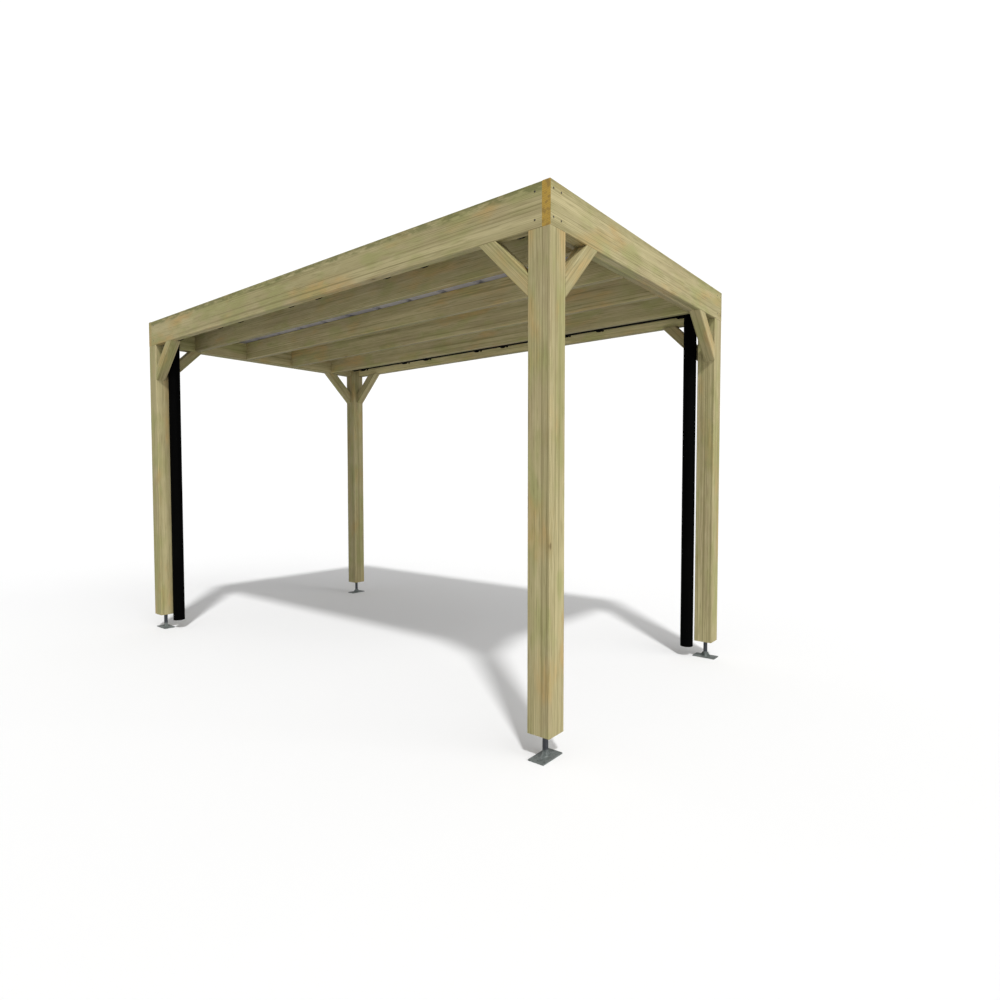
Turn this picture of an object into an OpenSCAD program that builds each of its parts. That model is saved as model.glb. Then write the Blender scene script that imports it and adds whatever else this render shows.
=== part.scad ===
// Open timber carport. Four notched posts stand on steel feet and carry a rim of
// boards, with knee braces at every corner. A low double-pitched steel roof, its
// rafters, two half-round gutters and two downpipes lie inside the rim.
// The origin is on the ground at the centre of the plan, X runs along the length.

/* [Frame] */
// Length over the posts
length = 4000; // [3200:10:5200]
// Width over the posts
width = 2122; // [1900:2:2800]
// Height from the ground to the top of the rim boards
height = 2545; // [2300:5:2900]
// Side of the square posts
post_side = 120; // [110:5:140]
// Height of a post's lower end above the ground
post_lift = 116; // [80:2:150]
// Width of the eased edges of all timber
ease = 3; // [1:0.5:5]

/* [Rim boards] */
// Height of the rim boards
rim_h = 196; // [190:2:220]
// Thickness of the rim boards
rim_t = 45; // [35:1:50]

/* [Knee braces] */
// Side of the square braces
brace_side = 72; // [60:1:75]
// Distance from the corner of post and rim board to a brace's outer edge
brace_leg = 286; // [240:2:360]

/* [Rafters] */
// Thickness of the rafters
rafter_t = 45; // [35:1:50]
// Level of the rafters' lower edges above those of the rim boards
rafter_lift = 0; // [0:1:30]
// Distance between rafter centres
rafter_pitch = 468; // [420:2:500]
// Thickness of the ledgers that carry the rafters' ends
ledger_t = 45; // [35:1:50]

/* [Roof] */
// Slope of the roof in degrees
slope = 1.2; // [1:0.1:2.5]
// Height of the underside of the sheets at the ridge
ridge_z = 2507; // [2500:1:2512]
// Distance between the ribs of the sheets
rib_pitch = 327; // [300:1:340]
// Height of the ribs
rib_h = 20; // [15:1:22]
// Ribs on each sheet
sheet_ribs = 3; // [2:1:4]
// Thickness of the sheets
sheet_t = 1.5; // [1:0.1:2]

/* [Gutters and pipes] */
// Outer radius of the half-round gutters
gutter_r = 52; // [45:1:54]
// Distance from a rim board's inner face to the gutter's centre line
gutter_in = 73; // [70:1:80]
// Height of the gutters' rims
gutter_z = 2447; // [2440:1:2450]
// Wall of gutters and pipes
wall = 2; // [1.5:0.5:3]
// Outer diameter of the downpipes
pipe_d = 87; // [75:1:90]
// Height of the pipes' open lower ends
pipe_low = 70; // [40:5:120]

/* [Feet] */
// Length of a foot plate
plate_l = 154; // [140:2:170]
// Width of a foot plate
plate_w = 84; // [76:2:100]
// Thickness of a foot plate
plate_t = 6; // [5:0.5:8]
// Diameter of the foot's upright rod
rod_d = 27; // [20:1:30]
// Distance between the two anchor holes
anchor_span = 126; // [110:2:130]
// Diameter of the anchor holes
anchor_d = 12; // [9:1:14]

/* [Hidden] */

timber = [0.66, 0.63, 0.45];
timber_inner = [0.52, 0.49, 0.36];
sheet_grey = [0.62, 0.61, 0.66];
black = [0.06, 0.06, 0.06];
zinc = [0.42, 0.43, 0.45];

half_l = length / 2;
half_w = width / 2;
inner_l = half_l - rim_t;
inner_w = half_w - rim_t;
rim_z = height - rim_h;
tenon_top = height - 5;
gap = 5;

// Highest level of a rafter that still clears the sheets above its outer edge.
function under_sheet(y) = ridge_z - y * tan(slope);

sheet_half = inner_l - gap;
eave_y = half_w - post_side - gap;
ridge_slot = 6;
sheet_run = (eave_y - ridge_slot) / cos(slope);
rib_base = 60;
rib_top = 26;
rib_edge = 34;
first_rib = sheet_half - rib_edge;
lap = 35;
sheet_gap = 0.5;
last_sheet = 3;
cap_w = 220;

gutter_y = inner_w - gutter_in;
gutter_half = half_l - post_side - gap;
bead_r = 6;
bead_rise = 5;
bore_r = pipe_d / 2 - wall;
pipe_x = half_l - post_side - 55;
outlet_x = pipe_x - 60;

bracket_t = 10;
bracket_w = 18;
bracket_top = -2;
bracket_arm_z = -12;
bracket_plate_t = 4;
bracket_plate_h = 56;
bracket_plate_z = -45;
bracket_places = [-1740, -1095, -795, -150, 150, 795, 1095, 1740];

gusset_l = 26;
gusset_h = 32;
gusset_t = 5;
smooth = 64;

// Moves what is drawn for the back right corner to another corner.
module to_corner(sx, sy)
    mirror([sx < 0 ? 1 : 0, 0, 0])
        mirror([0, sy < 0 ? 1 : 0, 0]) children();

// Section of a planed timber, a rectangle with eased edges, centred.
module timber_section(a, b) {
    x = a / 2;
    y = b / 2;
    polygon([
        [ease - x, -y], [x - ease, -y], [x, ease - y], [x, y - ease],
        [x - ease, y], [ease - x, y], [-x, y - ease], [-x, ease - y]
    ]);
}

// Lays what is drawn in the plane of Y and Z along X, centred.
module along_x(run)
    rotate([90, 0, 90])
        linear_extrude(height = run, center = true) children();

// Lays what is drawn in the plane of X and Z along Y, centred.
module along_y(run)
    rotate([90, 0, 0])
        linear_extrude(height = run, center = true) children();

// Post with its two outer faces cut back behind the rim boards.
module post(sx, sy)
    color(timber) to_corner(sx, sy) difference() {
        translate([half_l - post_side / 2, half_w - post_side / 2, post_lift])
            linear_extrude(height = tenon_top - post_lift)
                timber_section(post_side, post_side);
        translate([inner_l, half_w - post_side - 1, rim_z])
            cube([rim_t + 1, post_side + 2, rim_h]);
        translate([half_l - post_side - 1, inner_w, rim_z])
            cube([post_side + 2, rim_t + 1, rim_h]);
    }

// Foot with a drilled base plate, an upright rod and two gussets. The plate
// lies along X or, turned, along Y.
module foot(sx, sy, turned)
    color(zinc)
        translate([sx * (half_l - post_side / 2), sy * (half_w - post_side / 2), 0])
            rotate([0, 0, turned ? 90 : 0]) {
                difference() {
                    translate([-plate_l / 2, -plate_w / 2, 0])
                        cube([plate_l, plate_w, plate_t]);
                    for (side = [-1, 1])
                        translate([side * anchor_span / 2, 0, -1])
                            cylinder(h = plate_t + 2, d = anchor_d, $fn = smooth);
                }
                cylinder(h = post_lift, d = rod_d, $fn = smooth);
                for (side = [0, 1])
                    mirror([side, 0, 0])
                        along_y(gusset_t)
                            polygon([
                                [0, plate_t], [rod_d / 2 + gusset_l, plate_t],
                                [rod_d / 2, plate_t + gusset_h], [0, plate_t + gusset_h]
                            ]);
            }

// Slanted timber in the corner under a beam and beside a post, cut off
// against both. The corner is at the origin and the brace is along Y.
module brace_bar()
    intersection() {
        rotate([0, -45, 0])
            translate([brace_side / 2 - brace_leg / sqrt(2), brace_side / 2, 0])
                linear_extrude(height = 3 * brace_leg, center = true)
                    timber_section(brace_side, brace_side);
        translate([-brace_leg - 1, -1, -brace_leg - 1])
            cube([brace_leg + 1, brace_side + 2, brace_leg + 1]);
    }

// Brace from a post to the long rim board beside it.
module brace_along(sx, sy)
    color(timber) to_corner(sx, sy)
        translate([half_l - post_side, half_w - brace_side, rim_z]) brace_bar();

// Brace from a post to the short rim board beside it.
module brace_across(sx, sy)
    color(timber) to_corner(sx, sy)
        translate([half_l - brace_side, half_w - post_side, rim_z])
            mirror([1, -1, 0]) brace_bar();

// Long rim board, held between the short ones.
module rim_long(sy)
    color(timber)
        translate([0, sy * (half_w - rim_t / 2), rim_z + rim_h / 2])
            along_x(2 * inner_l) timber_section(rim_t, rim_h);

// Short rim board over the whole width.
module rim_short(sx)
    color(timber)
        translate([sx * (half_l - rim_t / 2), 0, rim_z + rim_h / 2])
            along_y(width) timber_section(rim_t, rim_h);

// Ledger on the inner face of a short rim board, between the posts.
module ledger(sx) {
    h = under_sheet(half_w - post_side) - rim_z;
    color(timber_inner)
        translate([sx * (inner_l - ledger_t / 2), 0, rim_z + h / 2])
            along_y(2 * (half_w - post_side)) timber_section(ledger_t, h);
}

// Rafter along the length between the ledgers.
module rafter(y) {
    h = under_sheet(abs(y) + rafter_t / 2) - rim_z - rafter_lift;
    color(timber_inner)
        translate([0, y, rim_z + rafter_lift + h / 2])
            along_x(2 * (inner_l - ledger_t)) timber_section(rafter_t, h);
}

// One outline of a sheet from its left edge to its right, at height z.
function sheet_line(x0, x1, ribs, z) = concat(
    [[x0, z]],
    [for (x = ribs, p = [[-rib_base, 0], [-rib_top, rib_h], [rib_top, rib_h], [rib_base, 0]])
        [x + p[0] / 2, z + p[1]]],
    [[x1, z]]
);

function reversed(list) = [for (i = [len(list) - 1:-1:0]) list[i]];

// Ribbed sheet number i, counted from the right, on the front slope.
module roof_sheet(i, sy) {
    rib_xs = [for (n = [sheet_ribs - 1:-1:0]) first_rib - (i * sheet_ribs + n) * rib_pitch];
    x1 = i == 0 ? sheet_half : first_rib - i * sheet_ribs * rib_pitch + lap - sheet_gap;
    x0 = i == last_sheet ? -sheet_half : first_rib - (i + 1) * sheet_ribs * rib_pitch + lap;
    color(sheet_grey) mirror([0, sy > 0 ? 1 : 0, 0])
        translate([0, 0, ridge_z]) rotate([90 + slope, 0, 0])
            translate([0, 0, ridge_slot]) linear_extrude(height = sheet_run)
                polygon(concat(
                    sheet_line(x0, x1, rib_xs, 0),
                    reversed(sheet_line(x0, x1, rib_xs, sheet_t))
                ));
}

// Shallow folded cap that rests on the ribs along the ridge.
module ridge_cap() {
    z = rib_h + sheet_t;
    drop = cap_w / 2 * tan(slope);
    color(sheet_grey) translate([0, 0, ridge_z + z])
        along_x(2 * sheet_half)
            polygon([
                [-cap_w / 2, -drop], [0, 0], [cap_w / 2, -drop],
                [cap_w / 2, sheet_t - drop], [0, sheet_t], [-cap_w / 2, sheet_t - drop]
            ]);
}

// Lower half of a ring, or of a disc where the inner radius is 0.
module half_ring(outer, inner, top)
    difference() {
        circle(r = outer, $fn = smooth);
        if (inner > 0) circle(r = inner, $fn = smooth);
        translate([-2 * outer, top]) square(4 * outer);
    }

// Puts what is drawn for the back gutter at the back, or turned at the front.
module to_gutter(sy)
    rotate([0, 0, sy < 0 ? 180 : 0])
        translate([0, gutter_y, gutter_z]) children();

// Half-round channel with a rolled bead from x0 to x1, closed at x_end.
module channel(x0, x1, x_end) {
    translate([(x0 + x1) / 2, 0, 0]) along_x(x1 - x0) half_ring(gutter_r, gutter_r - wall, 0);
    translate([(x0 + x1) / 2, gutter_r - wall / 2, bead_rise])
        along_x(x1 - x0) circle(r = bead_r, $fn = smooth);
    translate([x_end, 0, 0]) along_x(wall) half_ring(gutter_r, 0, 0);
}

// Length of gutter, closed at the end without the outlet.
module gutter(sy)
    color(black) to_gutter(sy)
        channel(-gutter_half, outlet_x, wall / 2 - gutter_half);

// End piece of the gutter with the outlet hole.
module outlet(sy)
    color(black) to_gutter(sy) difference() {
        channel(outlet_x, gutter_half, gutter_half - wall / 2);
        translate([pipe_x, 0, -2 * gutter_r])
            cylinder(h = 2 * gutter_r, r = bore_r, $fn = smooth);
    }

// Steel straps that cradle the gutter and are fixed to the rim board.
module gutter_brackets(sy)
    color(black) to_gutter(sy)
        for (x = bracket_places) translate([x, 0, 0]) along_x(bracket_w) {
            half_ring(gutter_r + bracket_t, gutter_r, bracket_top);
            translate([gutter_r + bracket_t / 2, bracket_arm_z])
                square([gutter_in - gutter_r - bracket_t / 2, bracket_plate_t]);
            translate([gutter_in - bracket_plate_t, bracket_plate_z])
                square([bracket_plate_t, bracket_plate_h]);
        }

// Round pipe that hangs from the gutter's outlet.
module downpipe(sy)
    color(black) rotate([0, 0, sy < 0 ? 180 : 0])
        difference() {
            translate([pipe_x, gutter_y, pipe_low])
                cylinder(h = gutter_z - pipe_low, d = pipe_d, $fn = smooth);
            translate([pipe_x, gutter_y, pipe_low - 1])
                cylinder(h = gutter_z, r = bore_r, $fn = smooth);
            translate([pipe_x, gutter_y, gutter_z])
                along_x(2 * pipe_d) circle(r = gutter_r, $fn = smooth);
        }

post(-1, -1);  // post_front_left
post(1, -1);  // post_front_right
post(-1, 1);  // post_back_left
post(1, 1);  // post_back_right
foot(-1, -1, false);  // foot_front_left
foot(1, -1, true);  // foot_front_right
foot(-1, 1, true);  // foot_back_left
foot(1, 1, false);  // foot_back_right
brace_along(-1, -1);  // brace_front_left_along
brace_across(-1, -1);  // brace_front_left_across
brace_along(1, -1);  // brace_front_right_along
brace_across(1, -1);  // brace_front_right_across
brace_along(-1, 1);  // brace_back_left_along
brace_across(-1, 1);  // brace_back_left_across
brace_along(1, 1);  // brace_back_right_along
brace_across(1, 1);  // brace_back_right_across
rim_long(-1);  // rim_front
rim_long(1);  // rim_back
rim_short(-1);  // rim_left
rim_short(1);  // rim_right
ledger(-1);  // ledger_left
ledger(1);  // ledger_right
rafter(-1.5 * rafter_pitch);  // rafter_front_outer
rafter(-0.5 * rafter_pitch);  // rafter_front_inner
rafter(0.5 * rafter_pitch);  // rafter_back_inner
rafter(1.5 * rafter_pitch);  // rafter_back_outer
roof_sheet(0, -1);  // roof_sheet_front_1
roof_sheet(1, -1);  // roof_sheet_front_2
roof_sheet(2, -1);  // roof_sheet_front_3
roof_sheet(3, -1);  // roof_sheet_front_4
roof_sheet(0, 1);  // roof_sheet_back_1
roof_sheet(1, 1);  // roof_sheet_back_2
roof_sheet(2, 1);  // roof_sheet_back_3
roof_sheet(3, 1);  // roof_sheet_back_4
ridge_cap();
gutter(-1);  // gutter_front
gutter(1);  // gutter_back
outlet(-1);  // outlet_left
outlet(1);  // outlet_right
gutter_brackets(-1);  // gutter_brackets_front
gutter_brackets(1);  // gutter_brackets_back
downpipe(-1);  // downpipe_left
downpipe(1);  // downpipe_right
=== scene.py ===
"""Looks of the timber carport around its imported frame: treated pine, galvanised
feet, coated roof sheets, black gutters and pipes, with the screws, seals and
welds that the frame leaves out. Metres, Z up, the row's own frame."""

import math

import bmesh
import bpy
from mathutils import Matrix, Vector


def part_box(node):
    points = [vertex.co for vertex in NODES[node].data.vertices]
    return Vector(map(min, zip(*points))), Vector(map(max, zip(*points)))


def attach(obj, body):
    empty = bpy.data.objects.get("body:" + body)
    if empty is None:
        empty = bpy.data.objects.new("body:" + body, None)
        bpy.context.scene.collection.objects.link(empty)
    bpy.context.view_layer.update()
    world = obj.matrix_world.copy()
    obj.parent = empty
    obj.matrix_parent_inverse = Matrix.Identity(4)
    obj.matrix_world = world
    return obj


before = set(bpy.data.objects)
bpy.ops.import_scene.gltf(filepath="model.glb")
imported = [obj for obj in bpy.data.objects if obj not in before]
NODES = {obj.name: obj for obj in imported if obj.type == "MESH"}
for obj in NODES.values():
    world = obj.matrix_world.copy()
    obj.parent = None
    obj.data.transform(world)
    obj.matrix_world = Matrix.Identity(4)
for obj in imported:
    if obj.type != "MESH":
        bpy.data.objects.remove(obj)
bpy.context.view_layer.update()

# Sizes of the frame that its boxes don't give.
BRACKET_XS = (-1.74, -1.095, -0.795, -0.15, 0.15, 0.795, 1.095, 1.74)
BRACKET_PLATE = 0.004
SLOPE = math.radians(1.2)
RIBS, RIB_PITCH, RIB_H, RIB_EDGE = 12, 0.327, 0.02, 0.034
FOOT_PLATE, ROD_R = 0.006, 0.0135
GUSSET_T, GUSSET_L, GUSSET_H = 0.005, 0.026, 0.032


# ---------------------------------------------------------------- node helpers

class Tree:
    """Short hand for building a node tree."""

    def __init__(self, tree):
        self.tree = tree
        self.nodes = tree.nodes
        self.links = tree.links

    def add(self, kind, inputs=None, **props):
        node = self.nodes.new(kind)
        for key, value in props.items():
            setattr(node, key, value)
        for key, value in (inputs or {}).items():
            self.plug(node.inputs[key], value)
        return node

    def plug(self, socket, value):
        if isinstance(value, bpy.types.NodeSocket):
            self.links.new(value, socket)
        else:
            socket.default_value = value

    def math(self, operation, a, b=0.0, c=None):
        inputs = {0: a, 1: b}
        if c is not None:
            inputs[2] = c
        return self.add("ShaderNodeMath", inputs, operation=operation).outputs[0]

    def length(self, x, y):
        """Length of the plane vector x, y."""
        squares = [self.math("MULTIPLY", v, v) for v in (x, y)]
        return self.math("SQRT", self.math("ADD", *squares))

    def step(self, value, low, high, to_low=0.0, to_high=1.0):
        """Smooth step of value between low and high."""
        node = self.add("ShaderNodeMapRange", {
            "Value": value, "From Min": low, "From Max": high,
            "To Min": to_low, "To Max": to_high,
        }, interpolation_type="SMOOTHSTEP")
        return node.outputs[0]

    def mix(self, factor, a, b, blend="MIX"):
        node = self.add("ShaderNodeMix", data_type="RGBA", blend_type=blend)
        self.plug(node.inputs[0], factor)
        self.plug(node.inputs[6], a)
        self.plug(node.inputs[7], b)
        return node.outputs[2]

    def scaled(self, vector, scale, offset=(0.0, 0.0, 0.0)):
        node = self.add("ShaderNodeMapping", {
            "Vector": vector, "Scale": scale, "Location": offset,
        })
        return node.outputs[0]

    def noise(self, vector, scale, detail, rough=0.5):
        return self.add("ShaderNodeTexNoise", {
            "Vector": vector, "Scale": scale, "Detail": detail, "Roughness": rough,
        })

    def patches(self, place, scale, offset=(0.0, 0.0, 0.0), detail=3.0, rough=0.5):
        """Value of a noise with its own scale along each axis."""
        return self.noise(self.scaled(place, scale, offset), 1.0, detail, rough).outputs[0]

    def split(self, vector):
        return self.add("ShaderNodeSeparateXYZ", {0: vector}).outputs

    def join(self, x, y, z):
        return self.add("ShaderNodeCombineXYZ", {0: x, 1: y, 2: z}).outputs[0]


def rgb(r, g, b):
    """Linear colour of an 8-bit sRGB one."""
    def linear(c):
        c /= 255.0
        return c / 12.92 if c <= 0.04045 else ((c + 0.055) / 1.055) ** 2.4
    return (linear(r), linear(g), linear(b), 1.0)


def new_material(name):
    mat = bpy.data.materials.new(name)
    mat.use_nodes = True
    tree = Tree(mat.node_tree)
    mat.node_tree.nodes.clear()
    shader = tree.add("ShaderNodeBsdfPrincipled")
    out = tree.add("ShaderNodeOutputMaterial")
    tree.links.new(shader.outputs[0], out.inputs[0])
    return mat, tree, shader


def bump(tree, shader, height, distance, strength):
    node = tree.add("ShaderNodeBump", {
        "Height": height, "Distance": distance, "Strength": strength,
    })
    tree.plug(shader.inputs["Normal"], node.outputs[0])


# ---------------------------------------------------------------------- timber

def knots(t, place):
    """A few small round knots: their core, their halo and the reach of the swirl
    that they make in the rings."""
    distance = t.add("ShaderNodeTexVoronoi", {
        "Vector": t.scaled(place, (1.7, 4.6, 4.6)), "Scale": 1.0, "Randomness": 1.0,
    }).outputs["Distance"]
    reaches = ((0.028, 0.046), (0.04, 0.15), (0.03, 0.3))
    return [t.step(distance, near, far, 1.0, 0.0) for near, far in reaches]


def late_wood(t, place, section, ring, swirl):
    """Dark part of the year rings round the pith, bent slowly along the length
    and uneven in width and strength."""
    drift = t.split(t.noise(t.scaled(place, (0.5, 1.0, 1.0)), 1.0, 1.0).outputs["Color"])
    wobble = t.patches(place, (1.6, 16.0, 16.0), detail=2.0)
    around = t.split(section)
    u = t.math("MULTIPLY_ADD", drift[0], 0.03, around[1])
    v = t.math("MULTIPLY_ADD", drift[1], 0.03, around[2])
    radius = t.math("MULTIPLY_ADD", wobble, 0.005, t.length(u, v))
    radius = t.math("MULTIPLY_ADD", swirl, 0.012, radius)
    turns = t.math("DIVIDE", radius, ring)
    uneven = t.noise(t.join(t.math("MULTIPLY", turns, 0.45), 0.0, 0.0), 1.0, 1.0).outputs[0]
    year = t.math("FRACT", t.math("MULTIPLY_ADD", uneven, 1.8, turns))
    late = t.math("MULTIPLY", t.step(year, 0.2, 0.84), t.step(year, 0.9, 1.0, 1.0, 0.0))
    strong = t.patches(place, (0.9, 8.0, 8.0), detail=2.0)
    return t.math("MULTIPLY", late, t.step(strong, 0.32, 0.68, 0.25, 1.0))


def planed_colour(t, place, late, fibre, edge, knot, halo):
    """Colour of the planed faces, laid on in layers: broad bands, soft patches of
    treatment, dark lines along the grain, the stain of the top edge and knots."""
    band = t.patches(place, (0.45, 30.0, 30.0), detail=2.0)
    dull = t.patches(place, (1.5, 12.0, 12.0), (1.3, 9.1, 4.4))
    green = t.patches(place, (3.2, 8.5, 8.5), (3.1, 1.7, 8.2))
    warm = t.patches(place, (2.4, 7.0, 7.0), (7.7, 4.1, 2.9))
    blotch = t.patches(place, (7.0, 24.0, 24.0), (8.8, 3.6, 7.4), rough=0.6)
    line = t.patches(place, (0.4, 125.0, 125.0), (2.7, 5.1, 3.3), detail=2.0)
    dash = t.patches(place, (6.0, 170.0, 170.0), (4.2, 6.3, 1.8), detail=2.0, rough=0.6)
    streak = t.patches(place, (1.3, 46.0, 46.0), (5.9, 2.2, 6.1), rough=0.6)
    mottle = t.patches(place, (16.0, 60.0, 60.0), rough=0.6)
    broken = t.step(blotch, 0.35, 0.65, 0.35, 1.0)
    stained = t.step(mottle, 0.36, 0.62, 0.15, 0.75)
    colour = t.mix(t.step(band, 0.36, 0.64), rgb(187, 176, 134), rgb(169, 159, 118))
    for amount, tint in (
        (t.step(dull, 0.46, 0.66, 0.0, 0.5), (162, 146, 114)),
        (t.step(green, 0.46, 0.64, 0.0, 0.62), (153, 156, 98)),
        (t.math("MULTIPLY", t.step(warm, 0.52, 0.7, 0.0, 0.78), broken), (190, 154, 95)),
        (t.step(blotch, 0.5, 0.72, 0.0, 0.3), (194, 184, 146)),
        (t.math("MULTIPLY", late, 0.5), (126, 117, 76)),
        (t.step(line, 0.54, 0.68, 0.0, 0.55), (110, 103, 63)),
        (t.step(dash, 0.53, 0.7, 0.0, 0.48), (112, 105, 65)),
        (t.step(fibre, 0.35, 0.7, 0.0, 0.28), (141, 131, 89)),
        (t.step(streak, 0.6, 0.74, 0.0, 0.5), (118, 113, 71)),
        (t.math("MULTIPLY", edge, stained), (104, 105, 62)),
        (t.math("MULTIPLY", halo, 0.3), (138, 118, 70)),
        (t.math("MULTIPLY", knot, 0.7), (88, 72, 42)),
    ):
        colour = t.mix(amount, colour, rgb(*tint))
    return colour


def end_colour(t, place, late):
    """End grain: gold with brown patches and fine pores, and the rings clear."""
    brown = t.patches(place, (38.0, 38.0, 38.0), rough=0.6)
    pores = t.patches(place, (420.0, 420.0, 420.0), detail=2.0)
    colour = t.mix(t.math("MULTIPLY", late, 0.6), rgb(188, 154, 70), rgb(138, 106, 44))
    colour = t.mix(t.step(brown, 0.46, 0.62, 0.0, 0.65), colour, rgb(136, 112, 62))
    return t.mix(t.step(pores, 0.35, 0.75, 0.0, 0.4), colour, rgb(112, 92, 42))


def wood_group():
    """Node group: place along the grain (X) and in the section (Y, Z, measured
    from the pith) to colour, roughness and height of planed treated pine."""
    group = bpy.data.node_groups.new("treated_pine", "ShaderNodeTree")
    for way, kind, names in (
        ("INPUT", "Vector", ("Place", "Section")),
        ("INPUT", "Float", ("End", "Ring", "Edge")),
        ("OUTPUT", "Color", ("Color",)),
        ("OUTPUT", "Float", ("Roughness", "Height")),
    ):
        for name in names:
            group.interface.new_socket(name, in_out=way, socket_type="NodeSocket" + kind)
    t = Tree(group)
    place, section, end, ring, edge = t.add("NodeGroupInput").outputs[:5]
    knot, halo, swirl = knots(t, place)
    late = late_wood(t, place, section, ring, swirl)
    fibre = t.patches(place, (6.0, 300.0, 300.0), rough=0.65)
    planed = planed_colour(t, place, late, fibre, edge, knot, halo)
    height = t.math("MULTIPLY_ADD", late, 0.35, t.math("MULTIPLY", fibre, 0.65))
    rough = t.math("MULTIPLY_ADD", fibre, 0.16, 0.6)
    t.add("NodeGroupOutput", {
        "Color": t.mix(end, planed, end_colour(t, place, late)),
        "Roughness": t.math("MULTIPLY_ADD", late, -0.08, rough),
        "Height": t.math("MULTIPLY_ADD", knot, 0.5, height),
    })
    return group


WOOD = wood_group()

# Width of the year rings, and how the stain of a top edge fades and wanders.
POST_RING, BRACE_RING, BOARD_RING = 0.008, 0.0065, 0.0078
STAIN_TOP, STAIN_FADE, STAIN_WANDER = 0.006, 0.022, 0.06

# Turns that take X to the grain of a timber along each axis.
TURNS = {
    "x": (0.0, 0.0, 0.0),
    "y": (0.0, 0.0, math.radians(90)),
    "z": (0.0, math.radians(-90), 0.0),
}


def timber(node, turn, pith, ring, seed, end=0.4, stain=0.0, painted_light_tones=None):
    """Pine material of one timber. turn takes X to the grain, and pith is the
    middle of the rings in the section, from the timber's own middle. stain
    darkens the top edge. The last argument is painted light and shade: factors
    on the colour of its outer, inner and lower faces, which paint the wood
    under the roof lighter and its lower faces darker."""
    mat, t, shader = new_material("pine_" + node)
    low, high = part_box(node)
    coords = t.add("ShaderNodeTexCoord")
    local = t.add("ShaderNodeMapping", {
        "Vector": coords.outputs["Object"], "Location": tuple((low + high) / 2), "Rotation": turn,
    }, vector_type="TEXTURE").outputs[0]
    place = t.scaled(local, (1.0, 1.0, 1.0), (seed * 7.31, seed * 1.93, seed * 3.17))
    section = t.scaled(local, (1.0, 1.0, 1.0), (0.0, -pith[0], -pith[1]))
    normal = t.add("ShaderNodeMapping", {
        "Vector": coords.outputs["Normal"], "Rotation": turn,
    }, vector_type="TEXTURE").outputs[0]
    cut = t.step(t.math("ABSOLUTE", t.split(normal)[0]), 0.75, 0.9, 0.0, end)
    top = (high.z - low.z) / 2
    wander = t.patches(place, (1.7, 0.0, 0.0))
    rise = t.math("MULTIPLY_ADD", wander, STAIN_WANDER, t.split(local)[2])
    edge = t.step(rise, top + STAIN_TOP - STAIN_FADE, top + STAIN_TOP, 0.0, stain)
    wood = t.add("ShaderNodeGroup", node_tree=WOOD)
    for key, value in (("Place", place), ("Section", section), ("End", cut),
                       ("Ring", ring), ("Edge", edge)):
        t.plug(wood.inputs[key], value)
    colour = wood.outputs["Color"]
    # Painted light and shade: the colour is multiplied by one factor on the faces turned to -Y,
    # one on the lower faces and one on the rest.
    if painted_light_tones:
        outer, inner, lower = ((v, v, v, 1.0) for v in painted_light_tones)
        facing = t.split(coords.outputs["Normal"])
        painted_light_tone = t.mix(t.step(facing[1], -0.9, -0.7, 1.0, 0.0), outer, inner)
        painted_light_tone = t.mix(t.step(facing[2], -0.9, -0.7, 1.0, 0.0), painted_light_tone, lower)
        colour = t.mix(1.0, colour, painted_light_tone, "MULTIPLY")
    t.plug(shader.inputs["Base Color"], colour)
    t.plug(shader.inputs["Roughness"], wood.outputs["Roughness"])
    shader.inputs["Specular IOR Level"].default_value = 0.25
    bump(t, shader, wood.outputs["Height"], 0.0006, 0.8)
    return mat


def dress(node, mat):
    data = NODES[node].data
    data.materials.clear()
    data.materials.append(mat)


seed = 1
for row, sy in (("front", -1), ("back", 1)):
    for side, sx in (("left", -1), ("right", 1)):
        corner = f"{row}_{side}"
        dress(f"post_{corner}", timber(
            f"post_{corner}", TURNS["z"], (0.16 * sy, 0.13 * sx), POST_RING, seed))
        tilt = math.radians(-135 if sx > 0 else -45)
        dress(f"brace_{corner}_along", timber(
            f"brace_{corner}_along", (0.0, tilt, 0.0), (0.03 * sy, 0.12), BRACE_RING, seed + 0.4))
        turn = (0.0, math.radians(-135 if sy > 0 else -45), math.radians(90))
        dress(f"brace_{corner}_across", timber(
            f"brace_{corner}_across", turn, (0.05, 0.11), BRACE_RING, seed + 0.7))
        seed += 1
# The last column is painted light and shade: the back rim board's inner face is painted lighter
# and its lower face darker.
for node, axis, pith, end, stain, painted_light_tones in (
    ("rim_front", "x", (0.03, -0.27), 0.3, 1.0, None),
    ("rim_back", "x", (0.03, -0.24), 0.3, 0.6, (1.0, 1.8, 0.8)),
    ("rim_left", "y", (0.04, -0.25), 0.25, 0.5, None),
    ("rim_right", "y", (0.05, 0.24), 1.0, 0.25, None),
):
    dress(node, timber(node, TURNS[axis], pith, BOARD_RING, seed, end, stain, painted_light_tones))
    seed += 1
# Rafters and ledgers: painted light on their sides and painted shade on their lower faces.
for node, axis, pith in (
    ("ledger_left", "y", (0.05, -0.2)), ("ledger_right", "y", (0.04, 0.2)),
    ("rafter_front_outer", "x", (0.05, -0.19)), ("rafter_front_inner", "x", (0.06, 0.2)),
    ("rafter_back_inner", "x", (0.05, -0.22)), ("rafter_back_outer", "x", (0.07, 0.17)),
):
    dress(node, timber(
        node, TURNS[axis], pith, BOARD_RING, seed, 0.3, painted_light_tones=(1.25, 1.25, 0.8)))
    seed += 1


# --------------------------------------------------------- steel, sheet, plastic

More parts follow.
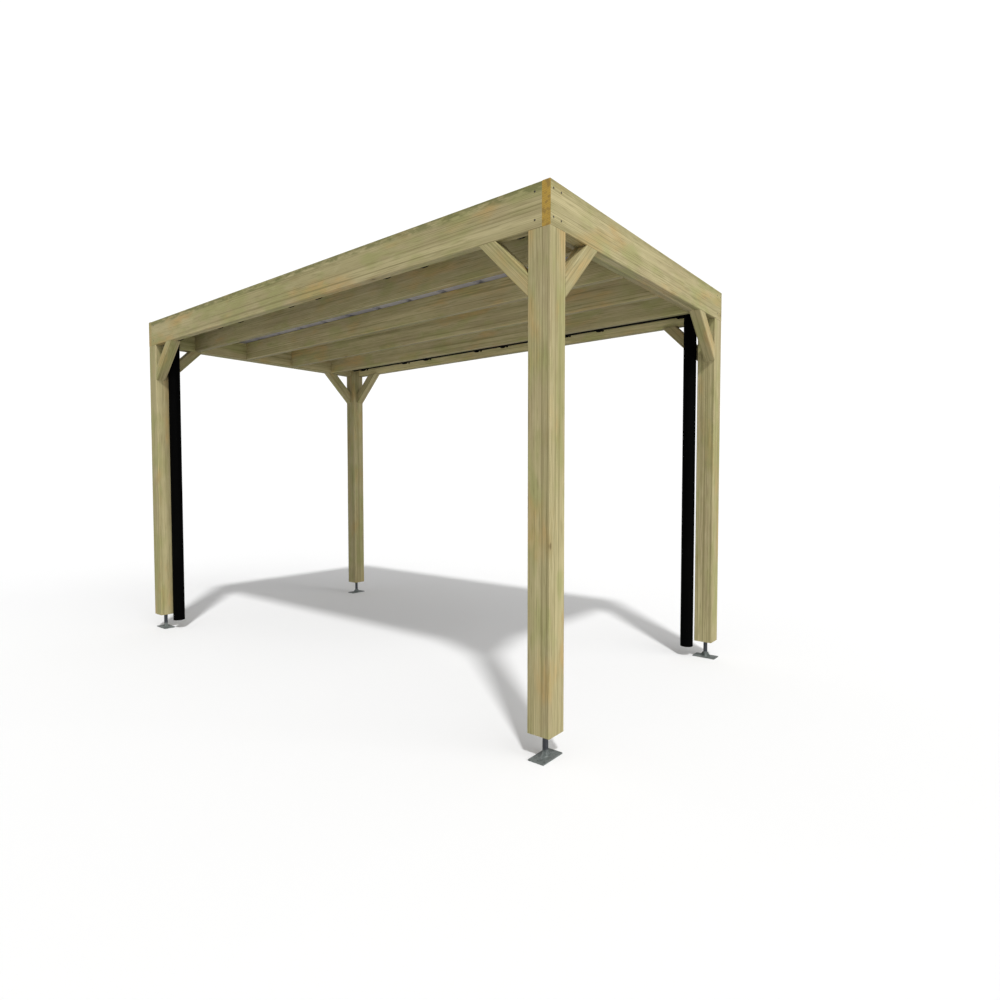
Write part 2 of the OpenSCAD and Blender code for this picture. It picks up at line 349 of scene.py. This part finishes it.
def zinc_material():
    """Hot-dip galvanised steel with large soft spangle; the upright rods are
    painted darker above the gussets, as painted shade under the posts."""
    mat, t, shader = new_material("zinc_steel")
    place = t.add("ShaderNodeTexCoord").outputs["Object"]
    spangle = t.add("ShaderNodeTexVoronoi", {"Vector": place, "Scale": 170.0})
    cloud = t.noise(place, 24.0, 3.0).outputs[0]
    grey = t.mix(t.split(spangle.outputs["Color"])[0], rgb(112, 118, 116), rgb(138, 144, 141))
    grey = t.mix(t.math("MULTIPLY", t.step(cloud, 0.4, 0.75), 0.55), grey, rgb(88, 93, 93))
    low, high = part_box("foot_back_right")
    axes = t.split(place)
    x = t.math("SUBTRACT", t.math("ABSOLUTE", axes[0]), (low.x + high.x) / 2)
    y = t.math("SUBTRACT", t.math("ABSOLUTE", axes[1]), (low.y + high.y) / 2)
    near_axis = t.step(t.length(x, y), ROD_R + 0.0003, ROD_R + 0.0007, 1.0, 0.0)
    top = FOOT_PLATE + GUSSET_H
    # Painted shade: the rod above the gussets takes a darker, streaked grey for the shade under
    # the post.
    painted_rod_shade = t.math("MULTIPLY", near_axis, t.step(axes[2], top - 0.006, top + 0.006))
    streaks = t.patches(place, (160.0, 160.0, 320.0))
    dark = t.mix(t.step(streaks, 0.35, 0.7), rgb(62, 64, 72), rgb(86, 89, 94))
    t.plug(shader.inputs["Base Color"], t.mix(painted_rod_shade, grey, dark))
    shader.inputs["Metallic"].default_value = 0.5
    t.plug(shader.inputs["Roughness"], t.step(cloud, 0.25, 0.8, 0.42, 0.62))
    bump(t, shader, t.noise(place, 260.0, 3.0).outputs[0], 0.0004, 0.5)
    return mat


def sheet_material():
    """Light grey coated steel with faint rolling marks along the ribs."""
    mat, t, shader = new_material("roof_sheet")
    place = t.add("ShaderNodeTexCoord").outputs["Object"]
    cloud = t.patches(place, (3.0, 1.2, 3.0), detail=4.0)
    rolled = t.patches(place, (180.0, 2.0, 180.0), detail=2.0)
    grain = t.noise(place, 900.0, 2.0).outputs[0]
    grey = t.mix(t.step(cloud, 0.35, 0.7), rgb(184, 182, 188), rgb(160, 158, 166))
    grey = t.mix(t.math("MULTIPLY", t.step(rolled, 0.4, 0.7), 0.35), grey, rgb(128, 127, 136))
    t.plug(shader.inputs["Base Color"], grey)
    t.plug(shader.inputs["Roughness"], t.step(cloud, 0.3, 0.8, 0.38, 0.52))
    height = t.math("MULTIPLY_ADD", rolled, 0.6, t.math("MULTIPLY", grain, 0.4))
    bump(t, shader, height, 0.0003, 0.5)
    return mat


def black_material(name, grey, rough, scale):
    """Black plastic or powder coat: fine texture and a little dust."""
    mat, t, shader = new_material(name)
    place = t.add("ShaderNodeTexCoord").outputs["Object"]
    dust = t.patches(place, (9.0, 9.0, 3.0), detail=4.0)
    grain = t.noise(place, scale, 2.0).outputs[0]
    tint = t.mix(t.math("MULTIPLY", t.step(dust, 0.45, 0.8), 0.5), rgb(*grey), rgb(8, 8, 8))
    t.plug(shader.inputs["Base Color"], tint)
    t.plug(shader.inputs["Roughness"], t.step(dust, 0.3, 0.8, rough, rough + 0.14))
    shader.inputs["Specular IOR Level"].default_value = 0.02
    bump(t, shader, grain, 0.0002, 0.4)
    return mat


ZINC = zinc_material()
SHEET = sheet_material()
PLASTIC = black_material("black_plastic", (3, 3, 3), 0.6, 700.0)
STEEL_BLACK = black_material("black_steel", (4, 4, 4), 0.55, 1200.0)
PREFIXES = {
    "foot": ZINC, "roof_sheet": SHEET, "ridge_cap": SHEET, "gutter_brackets": STEEL_BLACK,
    "gutter": PLASTIC, "outlet": PLASTIC, "downpipe": PLASTIC,
}
for node in NODES:
    for prefix, mat in PREFIXES.items():
        if node.startswith(prefix):
            dress(node, mat)
            break


# --------------------------------------------------------------------- fixings

# How far the screws stand from the edges of the boards, plates and ridge cap.
POST_SCREW_IN, RIM_SCREW_LOW, RIM_SCREW_TOP = 0.083, 0.038, 0.036
PLATE_SCREW_DROPS = (0.006, 0.047)
CAP_SCREW_IN = 0.025

# Turned outlines of the fixings: radius, height and sides of each ring.
SEGMENTS = 20
SUNK = [(0.0048, -0.003, 0), (0.0048, 0.0003, 0), (0.0044, 0.0006, 0), (0.0028, 0.0008, 0),
        (0.0024, 0.0008, 6), (0.0022, 0.0001, 6)]
PAN = [(0.0042, -0.002, 0), (0.0042, 0.001, 0), (0.0034, 0.0022, 0), (0.0024, 0.0026, 0),
       (0.0016, 0.0026, 6), (0.0015, 0.0012, 6)]
WASHER = [(0.0078, -0.001, 0), (0.0078, 0.0016, 0)]
HEXAGON = [(0.0072, 0.0005, 0), (0.0072, 0.0026, 0), (0.0058, 0.0030, 0), (0.0050, 0.0031, 6),
           (0.0050, 0.0072, 6), (0.0044, 0.0078, 6)]

# Beads of weld: their radii and how finely they are drawn.
ROD_BEAD, PLATE_BEAD, UPRIGHT_BEAD = 0.0028, 0.002, 0.0018
BEAD_SIDES, BEAD_ROUND, BEAD_STEPS, BEAD_RISES = 8, 28, 9, 10


def fixing_material(name, light, dark, metallic):
    """Plated steel of screws and welds: fine mottle and a soft sheen."""
    mat, t, shader = new_material(name)
    place = t.add("ShaderNodeTexCoord").outputs["Object"]
    mottle = t.noise(place, 420.0, 3.0).outputs[0]
    t.plug(shader.inputs["Base Color"], t.mix(t.step(mottle, 0.3, 0.7), rgb(*light), rgb(*dark)))
    shader.inputs["Metallic"].default_value = metallic
    t.plug(shader.inputs["Roughness"], t.step(mottle, 0.3, 0.8, 0.4, 0.6))
    bump(t, shader, mottle, 0.0002, 0.4)
    return mat


SCREW_STEEL = fixing_material("screw_steel", (98, 94, 84), (60, 57, 50), 0.6)
WELD_STEEL = fixing_material("weld_steel", (134, 139, 136), (98, 103, 102), 0.5)
SEAL = black_material("seal_rubber", (9, 9, 9), 0.7, 900.0)


def lathe(bm, base, axis, profile, slot=0):
    """Turned solid from base along axis. profile holds (radius, height, sides):
    sides, where it isn't 0, draws that ring as a polygon, such as a hexagon."""
    turn = Vector(axis).to_track_quat("Z", "Y").to_matrix()
    rings = []
    for radius, height, sides in profile:
        ring = []
        for i in range(SEGMENTS):
            angle = 2 * math.pi * i / SEGMENTS
            reach = radius
            if sides:
                part = 2 * math.pi / sides
                reach = radius * math.cos(part / 2) / math.cos(angle % part - part / 2)
            point = Vector((reach * math.cos(angle), reach * math.sin(angle), height))
            ring.append(bm.verts.new(Vector(base) + turn @ point))
        rings.append(ring)
    faces = []
    for below, above in zip(rings, rings[1:]):
        for i in range(SEGMENTS):
            j = (i + 1) % SEGMENTS
            faces.append(bm.faces.new((below[i], below[j], above[j], above[i])))
    faces.append(bm.faces.new(rings[-1]))
    faces.append(bm.faces.new(list(reversed(rings[0]))))
    for made in faces:
        made.material_index = slot


def add_piece(name, bm, mats):
    mesh = bpy.data.meshes.new(name)
    bm.to_mesh(mesh)
    bm.free()
    for mat in mats:
        mesh.materials.append(mat)
    piece = bpy.data.objects.new(name, mesh)
    bpy.context.scene.collection.objects.link(piece)
    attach(piece, "root")


def corner_screws():
    """Countersunk screws through the rim boards into each other and the posts."""
    low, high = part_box("rim_right")
    thick = high.x - low.x
    bm = bmesh.new()
    for sx in (-1, 1):
        for sy in (-1, 1):
            for z in (low.z + RIM_SCREW_LOW, high.z - RIM_SCREW_TOP):
                for inset in (thick / 2, POST_SCREW_IN):
                    lathe(bm, (sx * high.x, sy * (high.y - inset), z), (sx, 0, 0), SUNK)
                lathe(bm, (sx * (high.x - POST_SCREW_IN), sy * high.y, z), (0, sy, 0), SUNK)
    add_piece("corner_screws", bm, [SCREW_STEEL])


def bracket_screws():
    """Two pan-head screws through the plate of each gutter bracket."""
    bm = bmesh.new()
    for row, sy in (("front", -1), ("back", 1)):
        low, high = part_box("gutter_brackets_" + row)
        face = sy * (max(abs(low.y), abs(high.y)) - BRACKET_PLATE)
        for x in BRACKET_XS:
            for drop in PLATE_SCREW_DROPS:
                lathe(bm, (x, face, high.z - drop), (0, -sy, 0), PAN)
    add_piece("bracket_screws", bm, [SCREW_STEEL])


def roof_screws():
    """Hexagon screws with sealing washers: through the sheets into each rafter,
    and through the edges of the ridge cap into the ribs."""
    bm = bmesh.new()
    sheet_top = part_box("roof_sheet_front_1")[1].z
    cap_low, cap_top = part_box("ridge_cap")
    first_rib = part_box("roof_sheet_front_1")[1].x - RIB_EDGE
    ribs = [first_rib - i * RIB_PITCH for i in range(RIBS)]
    for sy in (-1, 1):
        axis = (0, sy * math.sin(SLOPE), math.cos(SLOPE))

        def fix(x, y, top):
            base = (x, sy * y, top - y * math.tan(SLOPE))
            lathe(bm, base, axis, WASHER, slot=1)
            lathe(bm, base, axis, HEXAGON)

        for node in ("rafter_back_inner", "rafter_back_outer"):
            low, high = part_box(node)
            for rib in ribs[:-1]:
                fix(rib - RIB_PITCH / 2, (low.y + high.y) / 2, sheet_top - RIB_H)
        for rib in ribs:
            fix(rib, -cap_low.y - CAP_SCREW_IN, cap_top.z)
    add_piece("roof_screws", bm, [WELD_STEEL, SEAL])


def weld(bm, points, radius, closed=False):
    """Round bead of weld along points, with a slight ripple in its width."""
    count = len(points)
    rings = []
    for i, point in enumerate(points):
        ahead = points[(i + 1) % count] if closed or i + 1 < count else point
        behind = points[i - 1] if closed or i else point
        turn = (ahead - behind).to_track_quat("Z", "Y").to_matrix()
        wide = radius * (1.0 + 0.12 * (i % 2))
        if not closed and i in (0, count - 1):
            wide *= 0.45
        ring = []
        for k in range(BEAD_SIDES):
            angle = 2 * math.pi * k / BEAD_SIDES
            across = Vector((wide * math.cos(angle), wide * math.sin(angle), 0.0))
            ring.append(bm.verts.new(point + turn @ across))
        rings.append(ring)
    pairs = list(zip(rings, rings[1:])) + ([(rings[-1], rings[0])] if closed else [])
    for one, two in pairs:
        for k in range(BEAD_SIDES):
            after = (k + 1) % BEAD_SIDES
            bm.faces.new((one[k], one[after], two[after], two[k])).smooth = True
    if not closed:
        bm.faces.new(list(reversed(rings[0])))
        bm.faces.new(rings[-1])


def foot_welds():
    """Beads where each foot's upright and gussets meet the plate."""
    bm = bmesh.new()
    for node in [n for n in NODES if n.startswith("foot")]:
        low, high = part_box(node)
        centre = (low + high) / 2
        along = Vector((1, 0, 0)) if high.x - low.x > high.y - low.y else Vector((0, 1, 0))
        across = Vector((-along.y, along.x, 0))
        plate = Vector((centre.x, centre.y, FOOT_PLATE))
        turns = [2 * math.pi * i / BEAD_ROUND for i in range(BEAD_ROUND)]
        ring = [plate + Vector((math.cos(a), math.sin(a), 0.0)) * ROD_R for a in turns]
        weld(bm, ring, ROD_BEAD, closed=True)
        for end in (-1, 1):
            for side in (-1, 1):
                edge = plate + across * side * GUSSET_T / 2
                out = [ROD_R + GUSSET_L * i / BEAD_STEPS for i in range(BEAD_STEPS + 1)]
                up = [(GUSSET_H - 0.001) * i / BEAD_RISES for i in range(BEAD_RISES + 1)]
                weld(bm, [edge + along * end * reach for reach in out], PLATE_BEAD)
                corner = edge + along * end * ROD_R
                weld(bm, [corner + Vector((0, 0, rise)) for rise in up], UPRIGHT_BEAD)
    add_piece("foot_welds", bm, [WELD_STEEL])


corner_screws()
bracket_screws()
roof_screws()
foot_welds()


# ------------------------------------------------------------------------ stage

def floor_material():
    """White to the camera and greyer to bounced light, so that the wood under the
    roof keeps its shade."""
    mat, t, shader = new_material("pale_floor")
    place = t.add("ShaderNodeTexCoord").outputs["Object"]
    cloud = t.noise(place, 0.6, 3.0).outputs[0]
    seen = t.mix(cloud, (0.9, 0.9, 0.9, 1), (0.91, 0.91, 0.91, 1))
    path = t.add("ShaderNodeLightPath").outputs["Is Camera Ray"]
    t.plug(shader.inputs["Base Color"], t.mix(path, (0.55, 0.55, 0.54, 1), seen))
    shader.inputs["Roughness"].default_value = 0.9
    shader.inputs["Specular IOR Level"].default_value = 0.0
    return mat


def make_stage():
    """Round floor and white surroundings. The floor casts no shadow, so that the
    fill light, which comes from below, reaches the wood under the roof."""
    mesh = bpy.data.meshes.new("floor")
    bm = bmesh.new()
    bmesh.ops.create_circle(bm, cap_ends=True, segments=96, radius=120.0)
    bm.to_mesh(mesh)
    bm.free()
    floor = bpy.data.objects.new("floor", mesh)
    floor.location.z = -0.0005
    floor.visible_shadow = False
    mesh.materials.append(floor_material())
    bpy.context.scene.collection.objects.link(floor)

    world = bpy.data.worlds.new("studio")
    bpy.context.scene.world = world
    world.use_nodes = True
    t = Tree(world.node_tree)
    t.nodes.clear()
    path = t.add("ShaderNodeLightPath")
    seen = t.add("ShaderNodeBackground", {"Color": (1.0, 1.0, 1.0, 1.0), "Strength": 1.05})
    lit = t.add("ShaderNodeBackground", {"Color": (1.0, 1.0, 1.0, 1.0), "Strength": 0.42})
    both = t.add("ShaderNodeMixShader", {
        0: path.outputs["Is Camera Ray"], 1: lit.outputs[0], 2: seen.outputs[0],
    })
    out = t.add("ShaderNodeOutputWorld")
    t.links.new(both.outputs[0], out.inputs[0])


def sun(name, towards, strength, angle):
    data = bpy.data.lights.new(name, "SUN")
    data.energy = strength
    data.angle = math.radians(angle)
    lamp = bpy.data.objects.new(name, data)
    lamp.rotation_euler = Vector(towards).to_track_quat("Z", "Y").to_euler()
    bpy.context.scene.collection.objects.link(lamp)


make_stage()
# The key light throws the shadow, the wide side light brightens the faces on the
# right, and the weak fill light from below lifts the wood under the roof.
sun("key", (1.16, -1.0, 1.94), 0.66 * math.pi, 5.0)
sun("side", (0.93, -0.1, 0.35), 0.52 * math.pi, 70.0)
sun("fill", (0.2, -0.93, -0.35), 0.08 * math.pi, 40.0)

# Camera solved from the object's straight edges in the photo.
camera_data = bpy.data.cameras.new("camera")
camera_data.lens = 22.176
camera_data.sensor_width = 36.0
camera = bpy.data.objects.new("camera", camera_data)
camera.location = (3.4947, -3.2815, 1.2775)
camera.rotation_euler = (math.radians(87.752), 0.0, math.radians(38.566))
bpy.context.scene.collection.objects.link(camera)
bpy.context.scene.camera = camera
bpy.context.scene.view_settings.view_transform = "Standard"
